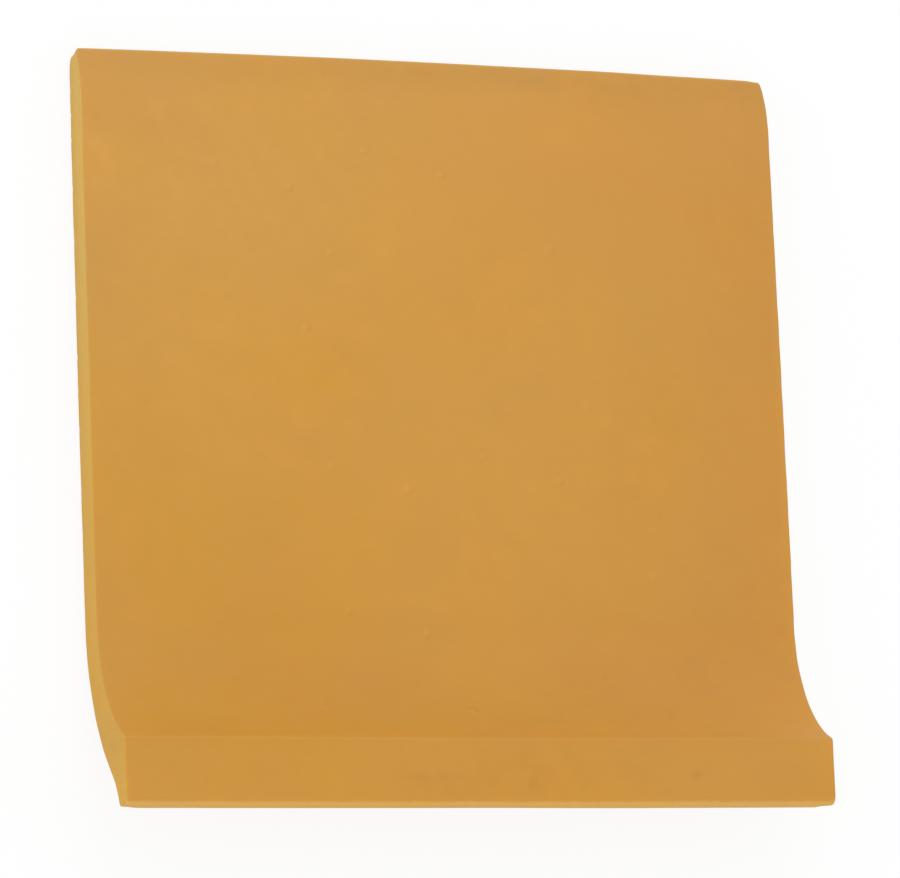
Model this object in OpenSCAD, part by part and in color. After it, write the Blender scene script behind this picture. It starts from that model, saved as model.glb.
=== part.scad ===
// Clinker skirting tile: a fired cove base with a rounded top and an upright toe.
// The tile lies on its back. X runs along the wall, Y runs up the wall from the
// foot to the rounded top, and Z points out of the face. The origin is under the
// middle of the tile, on the plane of its back.

/* [Tile] */
// Width along the wall
tile_w = 150; // [100:5:300]
// Height from the foot to the top
tile_h = 155.5; // [120:0.5:200]
// Thickness of the flat wall part
wall_t = 8; // [7:0.5:12]

/* [Toe] */
// How far the toe stands out in front of the wall face
toe_reach = 16; // [12:0.5:20]
// Height of the toe, from the foot to the edge where the cove begins
toe_h = 13.5; // [11:0.5:18]
// Width of the flat foot, from the toe's front to the hollow heel
foot_w = 5; // [3:0.5:8]

/* [Cove and back] */
// Radius of the cove between the toe and the wall face
cove_r = 27.5; // [22:0.5:34]
// How much larger the radius of the back's curve is than the cove's
back_growth = 16; // [12:0.5:20]
// How much higher up the wall the back's curve ends than the cove
back_lead = 1; // [0:0.5:4]
// Radius of the hollow between the back's curve and the foot
heel_r = 16; // [8:0.5:20]

/* [Rounded top] */
// Distance from the top down to where the face begins to round
crown_drop = 12; // [8:0.5:16]
// How far the round sets the top back from the wall face
crown_inset = 4; // [3:0.25:5]
// Radius of the tight round at the very top
tip_r = 1.5; // [0.75:0.25:2.5]

/* [Edges] */
// Radius along the toe's upper edge
toe_edge_r = 0.8; // [0.3:0.1:2]
// Radius along the toe's lower edge
foot_edge_r = 0.9; // [0.3:0.1:1.5]
// Radius along the upper edge of the back
back_edge_r = 3; // [0.5:0.25:3.5]

/* [Hidden] */
$fn = 128;

// How far a cutting shape runs past the face that it cuts
over = 1;
// How far two arcs that touch run into each other, so that they join
seam = 0.001;
// Overall thickness, from the back to the toe's front
depth = wall_t + toe_reach;
// Radius of the back's curve, which follows the cove
back_r = cove_r + back_growth;

// In the section, the first number is the height above the foot and the second
// is the distance from the back.
cove_c = [toe_h + leg(cove_r, cove_r - toe_reach), wall_t + cove_r];
toe_edge_c = [
    cove_c[0] - leg(cove_r + toe_edge_r - seam, cove_c[1] - depth + toe_edge_r),
    depth - toe_edge_r
];
back_c = [cove_c[0] + back_lead, back_r];
heel_c = meet([0, depth - foot_w], heel_r, back_c, back_r + heel_r - seam);
tip_c = [tile_h - tip_r, wall_t - crown_inset];
// Radius of the shallow round that starts level with the face and runs into the
// tight one at the tip
crown_r = thousandth(
    (pow(crown_drop - tip_r, 2) + pow(crown_inset, 2) - pow(tip_r, 2))
    / (2 * (crown_inset - tip_r))
) - seam;
crown_c = [tile_h - crown_drop, wall_t - crown_r];

// A length to the nearest thousandth
function thousandth(x) = round(1000 * x) / 1000;

// The other leg of a right-angled triangle
function leg(long_side, short_side) = sqrt(pow(long_side, 2) - pow(short_side, 2));

// The point at distance ra from a and rb from b, on the side towards the back
function meet(a, ra, b, rb) =
    let (
        gap = norm(b - a),
        dir = (b - a) / gap,
        along = (ra * ra - rb * rb + gap * gap) / (2 * gap)
    )
    a + along * dir + leg(ra, along) * [dir[1], -dir[0]];

// The point where the line from a through b reaches the height h
function at_height(a, b, h) = a + (b - a) * (h - a[0]) / (b[0] - a[0]);

// A full round of the section
module disc(centre, r) {
    translate(centre) circle(r = r);
}

// What lies outside an arc, between its centre and the rim points
module outside_arc(centre, r, rim) {
    difference() {
        polygon(concat([centre], rim));
        disc(centre, r);
    }
}

// The foot end: the toe, the cove in front of it and the rounded edge between them
module toe() {
    difference() {
        square([cove_c[0], depth]);
        disc(cove_c, cove_r);
        polygon([toe_edge_c, [toe_edge_c[0], cove_c[1]], cove_c]);
    }
    disc(toe_edge_c, toe_edge_r);
}

// The top end: a shallow round down the face and a tight one at the very top
module crown() {
    intersection() {
        disc(crown_c, crown_r);
        polygon([
            [crown_c[0], 0],
            [crown_c[0], wall_t + over],
            [tile_h + over, wall_t + over],
            at_height(crown_c, tip_c, tile_h + over),
            tip_c,
            [tip_c[0], 0]
        ]);
    }
    disc(tip_c, tip_r);
    polygon([[crown_c[0], 0], [tile_h, 0], [tile_h, tip_c[1]], tip_c]);
}

// What is cut away behind the back, its curve and the heel
module back_cut() {
    translate([0, -tip_r]) square([tile_h + over, tip_r]);
    outside_arc(back_c, back_r, [
        heel_c,
        [-over, heel_c[1]],
        [-over, -over],
        [back_c[0], -over]
    ]);
    disc(heel_c, heel_r);
}

// What is cut away along the lower edge of the toe
module foot_edge_cut() {
    outside_arc([foot_edge_r, depth - foot_edge_r], foot_edge_r, [
        [-over, depth - foot_edge_r],
        [-over, depth + over],
        [foot_edge_r, depth + over]
    ]);
}

// What is cut away along the upper edge of the back
module back_edge_cut() {
    edge_c = [tile_h - back_edge_r, back_edge_r];
    outside_arc(edge_c, back_edge_r, [
        [tile_h + over, edge_c[1]],
        [tile_h + over, -over],
        [edge_c[0], -over]
    ]);
}

// The tile's section, from the foot to the top
module section() {
    difference() {
        union() {
            toe();
            square([crown_c[0], wall_t]);
            crown();
        }
        back_cut();
        foot_edge_cut();
        back_edge_cut();
    }
}

module skirting_tile() {
    color([0.80, 0.59, 0.28])
        translate([-tile_w / 2, -tile_h / 2, 0])
            rotate([90, 0, 90])
                linear_extrude(tile_w) section();
}

skirting_tile();
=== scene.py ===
"""Looks of a fired clinker skirting tile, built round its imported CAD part.

The tile lies on its back. X runs along the wall, Y runs up the wall from the
foot to the rounded top, and Z points out of the face. All lengths are metres.
"""

import enum
import logging
import math
from dataclasses import dataclass, field

import bpy
import numpy as np
from mathutils import Matrix, Vector
from mathutils.geometry import delaunay_2d_cdt


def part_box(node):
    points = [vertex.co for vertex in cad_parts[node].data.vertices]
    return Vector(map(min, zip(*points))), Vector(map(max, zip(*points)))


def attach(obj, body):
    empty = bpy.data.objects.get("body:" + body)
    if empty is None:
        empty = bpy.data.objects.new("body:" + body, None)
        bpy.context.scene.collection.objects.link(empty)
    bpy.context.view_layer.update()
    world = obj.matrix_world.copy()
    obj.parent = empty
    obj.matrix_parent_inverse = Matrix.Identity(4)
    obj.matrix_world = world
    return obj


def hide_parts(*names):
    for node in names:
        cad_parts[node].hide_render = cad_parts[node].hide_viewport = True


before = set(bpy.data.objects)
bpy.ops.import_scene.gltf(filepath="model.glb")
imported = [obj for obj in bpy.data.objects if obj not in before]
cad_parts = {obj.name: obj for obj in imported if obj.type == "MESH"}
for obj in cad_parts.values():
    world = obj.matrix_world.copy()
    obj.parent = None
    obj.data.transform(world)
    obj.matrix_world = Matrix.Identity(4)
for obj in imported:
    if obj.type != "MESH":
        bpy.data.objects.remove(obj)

LOG = logging.getLogger("skirting_tile")
NODE = "skirting_tile"
MM = 0.001

Flat = tuple[float, float]
Triple = tuple[float, float, float]
Colour = Triple
Row = tuple[float, ...]
Tree = bpy.types.NodeTree
Outputs = bpy.types.NodeOutputs
Socket = bpy.types.NodeSocket

WHITE: Colour = (1.0, 1.0, 1.0)


def clay_colour(red: int, green: int, blue: int) -> Colour:
    """Turn a colour card's red, green and blue into the light that it gives back.

    Args:
        red: Red on the card, from 0 to 255.
        green: Green on the card.
        blue: Blue on the card.

    Returns:
        The same colour in linear light.
    """

    def linear(value: int) -> float:
        """Linear light of one channel."""
        share = value / 255
        return share / 12.92 if share <= 0.04045 else ((share + 0.055) / 1.055) ** 2.4

    return linear(red), linear(green), linear(blue)


# ---------------------------------------------------------------- camera


@dataclass(frozen=True)
class Viewpoint:
    """The place that the tile is looked at from.

    Args:
        aim: Point of the tile at the middle of the view.
        distance: How far the camera stands from it.
        azimuth: Turn round the tile in degrees, 0 looking up the wall part.
        elevation: Height above the floor in degrees.
        roll: Turn of the camera about its own line of sight in degrees.
        lens: Focal length in millimetres.
        film: Width of the film in millimetres.
        clip: Nearest and farthest distance that the camera sees.
    """

    aim: Triple = (0.75 * MM, -1.5 * MM, 8 * MM)
    distance: float = 1.111
    azimuth: float = -64.04
    elevation: float = 66.85
    roll: float = 63.52
    lens: float = 220.0
    film: float = 36.0
    clip: Flat = (0.05, 50.0)

    def look(self) -> Vector:
        """Work out which way the camera looks.

        Returns:
            The direction from the camera to the tile.
        """
        turn, rise = math.radians(self.azimuth), math.radians(self.elevation)
        return -Vector((math.sin(turn) * math.cos(rise), -math.cos(turn) * math.cos(rise),
                        math.sin(rise)))

    def build(self) -> bpy.types.Object:
        """Stand the camera up and make it the scene's own.

        Returns:
            The camera object.
        """
        data = bpy.data.cameras.new("viewpoint")
        data.lens, data.sensor_width = self.lens, self.film
        data.clip_start, data.clip_end = self.clip
        camera = bpy.data.objects.new("viewpoint", data)
        look = self.look()
        turned = look.to_track_quat("-Z", "Y").to_matrix().to_4x4()
        turned = turned @ Matrix.Rotation(math.radians(self.roll), 4, "Z")
        camera.matrix_world = Matrix.Translation(Vector(self.aim) - look * self.distance) @ turned
        bpy.context.scene.collection.objects.link(camera)
        bpy.context.scene.camera = camera
        LOG.info("camera: %.2f m away at %.1f degrees above the floor", self.distance, self.elevation)
        return camera


# ---------------------------------------------------------------- section


class Zone(enum.IntEnum):
    """The finishes of the tile, in the order of its material slots."""

    FACE = 0
    CUT = 1
    BACK = 2
    FOOT = 3


@dataclass(frozen=True)
class SectionSizes:
    """Sizes of the section that the tile's overall box doesn't give.

    Args:
        wall: Thickness of the wall part.
        toe_height: Height of the toe's front.
        foot_width: Width of the flat foot.
        cove_radius: Radius of the cove.
        back_growth: How much larger the round behind the cove is.
        back_lead: How much further up the wall its middle lies.
        heel_radius: Radius of the hollow at the heel.
        crown_drop: How far below the top the face starts to bend back.
        crown_inset: How far behind the face the tip of the crown lies.
        tip_radius: Radius of that tip.
        toe_edge_radius: Radius of the lip of the toe.
        foot_edge_radius: Radius of the foot's front edge.
        back_edge_radius: Radius of the edge at the top of the back.
        heel_corner_radius: Radius of the heel's corner.
    """

    wall: float = 8 * MM
    toe_height: float = 13.5 * MM
    foot_width: float = 5 * MM
    cove_radius: float = 27.5 * MM
    back_growth: float = 16 * MM
    back_lead: float = 1 * MM
    heel_radius: float = 16 * MM
    crown_drop: float = 12 * MM
    crown_inset: float = 4 * MM
    tip_radius: float = 1.5 * MM
    toe_edge_radius: float = 0.8 * MM
    foot_edge_radius: float = 0.9 * MM
    back_edge_radius: float = 3 * MM
    heel_corner_radius: float = 0.6 * MM


@dataclass
class Outline:
    """The closed line round the section, clockwise from the foot's front edge.

    Heights are measured from the foot and outs from the plane of the back.

    Args:
        sizes: The section's own sizes.
        height: Height of the tile, from the foot to the top.
        depth: Depth of the tile, from the back to the toe's front.
        fine: Spacing of the points on the face and the foot.
        coarse: Spacing of the points on the back's flat.
        back_step: Spacing on the curve behind the cove.
        heel_step: Spacing in the hollow at the heel.
        edge_step: Spacing round the edges at the top of the back.
        foot_edge_step: Spacing round the foot's front edge.
        toe_edge_step: Spacing round the lip of the toe.
        tip_step: Spacing round the tip of the crown.
        corner_step: Spacing round the heel's corner.
        foot_edge_rub: How rubbed the foot's front edge is, from 0 to 1.
        toe_edge_rub_and_highlight: How rubbed the lip of the toe is; its pale colour is also a painted
            highlight along the lip.
        tip_rub: How rubbed the tip of the crown is.
        corner_rub: How rubbed the heel's corner is.
        rub_reach: How far the rubbing runs out beyond an edge.
        rub_core: Share of an edge's half width that is rubbed in full.
        score_gaps: Least and most distance between the lines scored in the back.
        score_widths: Least and most width of a line.
        score_depths: Least and most depth of a line.
        score_seed: Seed of the lines.
        score_form: Points across a line, as shares of its half width and of its depth.
        place: The points.
        normal: The direction that the surface faces at each point.
        zone: The finish at each point.
        worn: How rubbed each point is, from 0 to 1; on the lip of the toe it is also a painted
            highlight.
        edges: First point, last point and rub of each rubbed round.
    """

    sizes: SectionSizes
    height: float
    depth: float
    fine: float = 0.75 * MM
    coarse: float = 2.4 * MM
    back_step: float = 1.8 * MM
    heel_step: float = 1.2 * MM
    edge_step: float = 0.5 * MM
    foot_edge_step: float = 0.18 * MM
    toe_edge_step: float = 0.15 * MM
    tip_step: float = 0.22 * MM
    corner_step: float = 0.2 * MM
    foot_edge_rub: float = 1.0
    toe_edge_rub_and_highlight: float = 0.32
    tip_rub: float = 0.45
    corner_rub: float = 0.9
    rub_reach: float = 0.65 * MM
    rub_core: float = 0.4
    score_gaps: Flat = (4 * MM, 13 * MM)
    score_widths: Flat = (0.8 * MM, 2.2 * MM)
    score_depths: Flat = (0.08 * MM, 0.3 * MM)
    score_seed: int = 11
    score_form: tuple[Flat, ...] = ((1, 0.0), (0.45, 0.8), (0, 1.0), (-0.45, 0.7))
    place: list[Flat] = field(default_factory=list)
    normal: list[Flat] = field(default_factory=list)
    zone: list[Zone] = field(default_factory=list)
    worn: list[float] = field(default_factory=list)
    edges: list[tuple[int, int, float]] = field(default_factory=list)

    def __post_init__(self) -> None:
        """Walk round the section, stretch by stretch."""
        s, h, d = self.sizes, self.height, self.depth
        reach = d - s.wall
        cove = (s.toe_height + self.leg(s.cove_radius, s.cove_radius - reach), s.wall + s.cove_radius)
        toe_r, foot_r, edge_r = s.toe_edge_radius, s.foot_edge_radius, s.back_edge_radius
        toe = (cove[0] - self.leg(s.cove_radius + toe_r, cove[1] - d + toe_r), d - toe_r)
        back_r = s.cove_radius + s.back_growth
        back = (cove[0] + s.back_lead, back_r)
        heel = self.meet((0.0, d - s.foot_width), s.heel_radius, back, back_r + s.heel_radius)
        corner_r = s.heel_corner_radius
        corner = (corner_r, heel[1] + self.leg(s.heel_radius + corner_r, corner_r - heel[0]))
        tip = (h - s.tip_radius, s.wall - s.crown_inset)
        crown_r = (((s.crown_drop - s.tip_radius) ** 2 + s.crown_inset**2 - s.tip_radius**2)
                   / (2 * (s.crown_inset - s.tip_radius)))
        crown = (h - s.crown_drop, s.wall - crown_r)
        toe_turn, tip_turn = self.turn(toe, cove), self.turn(crown, tip)
        back_turn, heel_turn = self.turn(back, heel), self.turn(corner, heel)

        self.bend((foot_r, d - foot_r), foot_r, 180, 90, self.foot_edge_step, Zone.FACE,
                  worn=self.foot_edge_rub)
        self.straight((foot_r, d), (toe[0], d), 90, self.fine, Zone.FACE)
        # The lip's pale rubbed colour is wear and a painted highlight along the lip.
        self.bend(toe, toe_r, 90, toe_turn, self.toe_edge_step, Zone.FACE, worn=self.toe_edge_rub_and_highlight)
        self.bend(cove, s.cove_radius, toe_turn, 90, self.fine, Zone.FACE, hollow=True)
        self.straight((cove[0], s.wall), (crown[0], s.wall), 90, self.fine, Zone.FACE)
        self.bend(crown, crown_r, 90, tip_turn, self.fine, Zone.FACE)
        self.bend(tip, s.tip_radius, tip_turn, 0, self.tip_step, Zone.FACE, worn=self.tip_rub)
        self.straight((h, tip[1]), (h, edge_r), 0, self.edge_step, Zone.BACK)
        self.bend((h - edge_r, edge_r), edge_r, 0, -90, self.edge_step, Zone.BACK)
        self.scored((h - edge_r, 0.0), (back[0], 0.0), Zone.BACK)
        self.bend(back, back_r, -90, back_turn, self.back_step, Zone.BACK)
        self.bend(heel, s.heel_radius, back_turn, heel_turn, self.heel_step, Zone.BACK, hollow=True)
        self.bend(corner, corner_r, heel_turn, -180, self.corner_step, Zone.FOOT,
                  worn=self.corner_rub)
        self.straight((0.0, corner[1]), (0.0, d - foot_r), -180, self.fine, Zone.FOOT)
        self.worn = self.wear_along()

    @staticmethod
    def leg(long_side: float, short_side: float) -> float:
        """The other leg of a right-angled triangle."""
        return math.sqrt(long_side**2 - short_side**2)

    @staticmethod
    def turn(start: Flat, end: Flat) -> float:
        """The direction from one point to another in degrees."""
        return math.degrees(math.atan2(end[1] - start[1], end[0] - start[0]))

    @classmethod
    def meet(cls, a: Flat, ra: float, b: Flat, rb: float) -> Flat:
        """Find where two circles cross, on the side towards the back.

        Args:
            a: Centre of the first circle.
            ra: Its radius.
            b: Centre of the second circle.
            rb: Its radius.

        Returns:
            The crossing point.
        """
        gap = math.dist(a, b)
        way = ((b[0] - a[0]) / gap, (b[1] - a[1]) / gap)
        along = (ra * ra - rb * rb + gap * gap) / (2 * gap)
        across = cls.leg(ra, along)
        return a[0] + along * way[0] + across * way[1], a[1] + along * way[1] - across * way[0]

    def add(self, place: Flat, turn: float, zone: Zone) -> None:
        """Add one point.

        Args:
            place: Where it is.
            turn: The direction that the surface faces there, in degrees.
            zone: The finish there.
        """
        self.place.append(place)
        self.normal.append((math.cos(math.radians(turn)), math.sin(math.radians(turn))))
        self.zone.append(zone)

    def straight(self, start: Flat, end: Flat, turn: float, step: float, zone: Zone) -> None:
        """Add a straight stretch, without its last point.

        Args:
            start: Where it starts.
            end: Where it ends.
            turn: The direction that it faces, in degrees.
            step: Spacing of its points.
            zone: The finish on it.
        """
        count = max(1, round(math.dist(start, end) / step))
        for k in range(count):
            share = k / count
            spot = (start[0] + (end[0] - start[0]) * share, start[1] + (end[1] - start[1]) * share)
            self.add(spot, turn, zone)

    def bend(self, centre: Flat, radius: float, first: float, last: float, step: float,
             zone: Zone, hollow: bool = False, worn: float = 0.0) -> None:
        """Add a round stretch, without its last point.

        Args:
            centre: Middle of the round.
            radius: Its radius.
            first: The direction that the surface faces at its start, in degrees.
            last: The direction that it faces at its end.
            step: Spacing of its points.
            zone: The finish on it.
            hollow: Whether the clay is outside the round.
            worn: How much the round is rubbed, from 0 to 1.
        """
        count = max(2, round(abs(math.radians(last - first)) * radius / step))
        start = len(self.place)
        for k in range(count):
            turn = first + (last - first) * k / count
            reach = -radius if hollow else radius
            spot = (centre[0] + reach * math.cos(math.radians(turn)),
                    centre[1] + reach * math.sin(math.radians(turn)))
            self.add(spot, turn, zone)
        if worn:
            self.edges.append((start, start + count, worn))

    def scored(self, start: Flat, end: Flat, zone: Zone) -> None:
        """Add the flat of the back, with the shallow lines that the die scored in it.

        Args:
            start: Where it starts, at the top.
            end: Where it ends, nearer the foot.
            zone: The finish on it.
        """
        chance = np.random.default_rng(self.score_seed)
        above = start[0]
        while True:
            middle = above - chance.uniform(*self.score_gaps)
            half, deep = chance.uniform(*self.score_widths) / 2, chance.uniform(*self.score_depths)
            if middle - half < end[0] + self.coarse:
                break
            self.straight((above, 0.0), (middle + half, 0.0), -90, self.coarse, zone)
            for side, share in self.score_form:
                self.add((middle + half * side, deep * share), -90, zone)
            above = middle - half
        self.straight((above, 0.0), end, -90, self.coarse, zone)

    def run(self) -> np.ndarray:
        """Distance walked along the outline to each point."""
        spots = np.array(self.place)
        return np.concatenate([[0.0], np.cumsum(np.linalg.norm(np.diff(spots, axis=0), axis=1))])

    def wear_along(self) -> list[float]:
        """Work out how rubbed each point is from its distance to the rubbed rounds.

        Returns:
            One number from 0 to 1 for each point.
        """
        run = self.run()
        whole = run[-1] + math.dist(self.place[-1], self.place[0])
        rubbed = np.zeros(len(run))
        for first, last, worn in self.edges:
            low, high = run[first], run[last] if last < len(run) else whole
            middle, half = (low + high) / 2, (high - low) / 2
            away = np.abs((run - middle + whole / 2) % whole - whole / 2)
            fade = np.clip(1 - (away - half * self.rub_core) / self.rub_reach, 0, 1)
            rubbed = np.maximum(rubbed, worn * fade)
        return rubbed.tolist()


# ---------------------------------------------------------------- relief


@dataclass(frozen=True)
class Undulation:
    """A slow, seeded waviness that runs through the whole tile.

    Args:
        shortest: Shortest wave.
        longest: Longest wave.
        seed: Seed of the waves.
        waves: How many waves add up.
        depth: Half the depth of the waves.
        squeeze: What the places along X, Y and Z are multiplied by; below 1 draws the waves out.
        crest: How many times the waves' usual height counts as 1.
    """

    shortest: float
    longest: float
    seed: int
    waves: int = 14
    depth: float = 1.0
    squeeze: Triple = (1.0, 1.0, 1.0)
    crest: float = 1.3

    def at(self, spots: np.ndarray) -> np.ndarray:
        """Read the waviness.

        Args:
            spots: Points, one row of three numbers each.

        Returns:
            A number from -1 to 1 for each point.
        """
        chance = np.random.default_rng(self.seed)
        spots = spots * self.squeeze
        total = np.zeros(len(spots))
        for _ in range(self.waves):
            way = chance.normal(size=3)
            length = self.shortest * (self.longest / self.shortest) ** chance.random()
            total += np.sin(spots @ (way / np.linalg.norm(way)) * 2 * math.pi / length
                            + chance.random() * 2 * math.pi)
        return np.clip(total / (self.crest * math.sqrt(self.waves)), -1, 1)

    def sink(self, spots: np.ndarray) -> np.ndarray:
        """How far the waves lift points; never above 0, so that the tile stays in its box."""
        return self.depth * (self.at(spots) - 1)


class Trace(enum.Enum):
    """What a patch of the face has more of, and the name that its finish reads it by."""

    # Darker colour, paler below 0: the clay's own tone, and painted shade and painted highlight too.
    SHADE = "shade"
    FLUSH = "flush"
    IRON = "iron"
    # Paler rubbed clay at the edges, which along the toe's lip is also a painted highlight.
    RUB_AND_HIGHLIGHT = "rub"


@dataclass(frozen=True)
class KilnMark:
    """A patch unlike what is round it. Many came out of the kiln or out of use; some are painted shade
    and painted highlight.

    Args:
        x: Place along the wall, in millimetres.
        y: Place up the wall, in millimetres.
        wide: Half its width, in millimetres.
        high: Half its height, in millimetres.
        much: How much more of the trace it has; below 0 it has less.
        ragged: How patchy it is, from 0 to 1.
        trace: What it has more of.
        above: Height over the back from which marks show, in millimetres.
    """

    x: float
    y: float
    wide: float
    high: float
    much: float
    ragged: float = 0.5
    trace: Trace = Trace.SHADE
    above: float = 3.0

    @classmethod
    def table(cls, trace: Trace, groups: dict[float, tuple[Row, ...]]) -> tuple["KilnMark", ...]:
        """Make marks of one trace.

        Args:
            trace: What they have more of.
            groups: The x, y, wide, high and much of each mark, grouped by how ragged it is.

        Returns:
            The marks.
        """
        return tuple(cls(*row, ragged, trace) for ragged, rows in groups.items() for row in rows)

    def amount(self, spots: np.ndarray, patches: np.ndarray) -> np.ndarray:
        """Work out how much the mark adds over the face.

        Args:
            spots: Points, one row of three numbers each.
            patches: A patchiness from -1 to 1 at each point.

        Returns:
            What it adds at each point.
        """
        across = (spots[:, 0] / MM - self.x) / self.wide
        along = (spots[:, 1] / MM - self.y) / self.high
        strength = np.exp(-(across**2 + along**2)) * (spots[:, 2] > self.above * MM)
        return self.much * strength * (1 + self.ragged * patches)


@dataclass(frozen=True)
class Mottle:
    """A part of the face where the fire left many small dark and pale patches.

    Args:
        low: Its lowest corner along and up the wall, in millimetres.
        high: Its highest corner.
        count: How many patches there are.
        smallest: Half the width of the smallest, in millimetres.
        largest: Half the width of the largest.
        depth: How dark or pale the strongest is.
        seed: Seed of the patches.
        squat: Height of a patch for its width, on average.
        ragged: How patchy each is, from 0 to 1.
    """

    low: Flat
    high: Flat
    count: int
    smallest: float
    largest: float
    depth: float
    seed: int
    squat: float = 0.75
    ragged: float = 0.7

    def marks(self) -> tuple[KilnMark, ...]:
        """Scatter the patches.

        Returns:
            One mark for each patch.
        """
        chance = np.random.default_rng(self.seed)
        made = []
        for _ in range(self.count):
            x, y = chance.uniform(self.low, self.high)
            wide, high = chance.uniform(self.smallest, self.largest, 2)
            much = self.depth * chance.uniform(-1, 1)
            made.append(KilnMark(x, y, wide, self.squat * high, much, self.ragged))
        return tuple(made)


class PimpleKind(enum.Enum):
    """What a small blemish in the fired skin is."""

    GRAIN = "a grain standing under the skin"
    BLISTER = "a blister with a sunken middle"


@dataclass(frozen=True)
class Pimple:
    """A small blemish in the skin of the face.

    Args:
        x: Place along the wall, in millimetres.
        y: Place up the wall, in millimetres.
        size: Width across, in millimetres.
        height: Height in millimetres.
        kind: What it is.
        hollow: Width of a blister's sunken middle, as a share of the blister's.
        sunk: Depth of that middle, as a share of the height.
        pale: How much paler the colour over it is painted, a painted highlight on the blemish.
        highlight_reach: How far that painted highlight shows, as a share of the size.
    """

    x: float
    y: float
    size: float = 2.0
    height: float = 0.2
    kind: PimpleKind = PimpleKind.GRAIN
    hollow: float = 0.4
    sunk: float = 0.7
    pale: float = 0.03
    highlight_reach: float = 0.35

    def rise(self, away: np.ndarray) -> np.ndarray:
        """Height of the skin over the blemish.

        Args:
            away: Distances from its middle.

        Returns:
            The height at each distance.
        """
        share = np.clip(away / (self.size * MM / 2), 0, 1)
        dome = (1 - share**2) ** 2
        if self.kind is PimpleKind.BLISTER:
            dome -= self.sunk * np.clip(1 - (share / self.hollow) ** 2, 0, 1) ** 2
        return self.height * MM * dome

    def painted_highlight(self) -> KilnMark:
        """A painted highlight: paler colour over the blemish."""
        half = self.highlight_reach * self.size
        return KilnMark(self.x, self.y, half, half, -self.pale)


@dataclass(frozen=True)
class Knock:
    """A corner or a stretch of edge that handling or the fire has moved.

    Args:
        middle: Its middle, as shares of the box from -1 to 1.
        reach: How far from the middle it shows.
        push: How far the middle itself has moved.
    """

    middle: Triple
    reach: float
    push: Triple

    def move(self, spots: np.ndarray, low: np.ndarray, high: np.ndarray) -> np.ndarray:
        """Move points near the knock.

        Args:
            spots: Points, one row of three numbers each.
            low: Lowest corner of the tile's box.
            high: Highest corner of the tile's box.

        Returns:
            The moved points.
        """
        at = (low + high) / 2 + np.array(self.middle) * (high - low) / 2
        away = np.linalg.norm(spots - at, axis=1) / self.reach
        share = np.clip(1 - away**2, 0, 1) ** 2
        return spots + share[:, None] * np.array(self.push)


# ---------------------------------------------------------------- nodes


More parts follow.
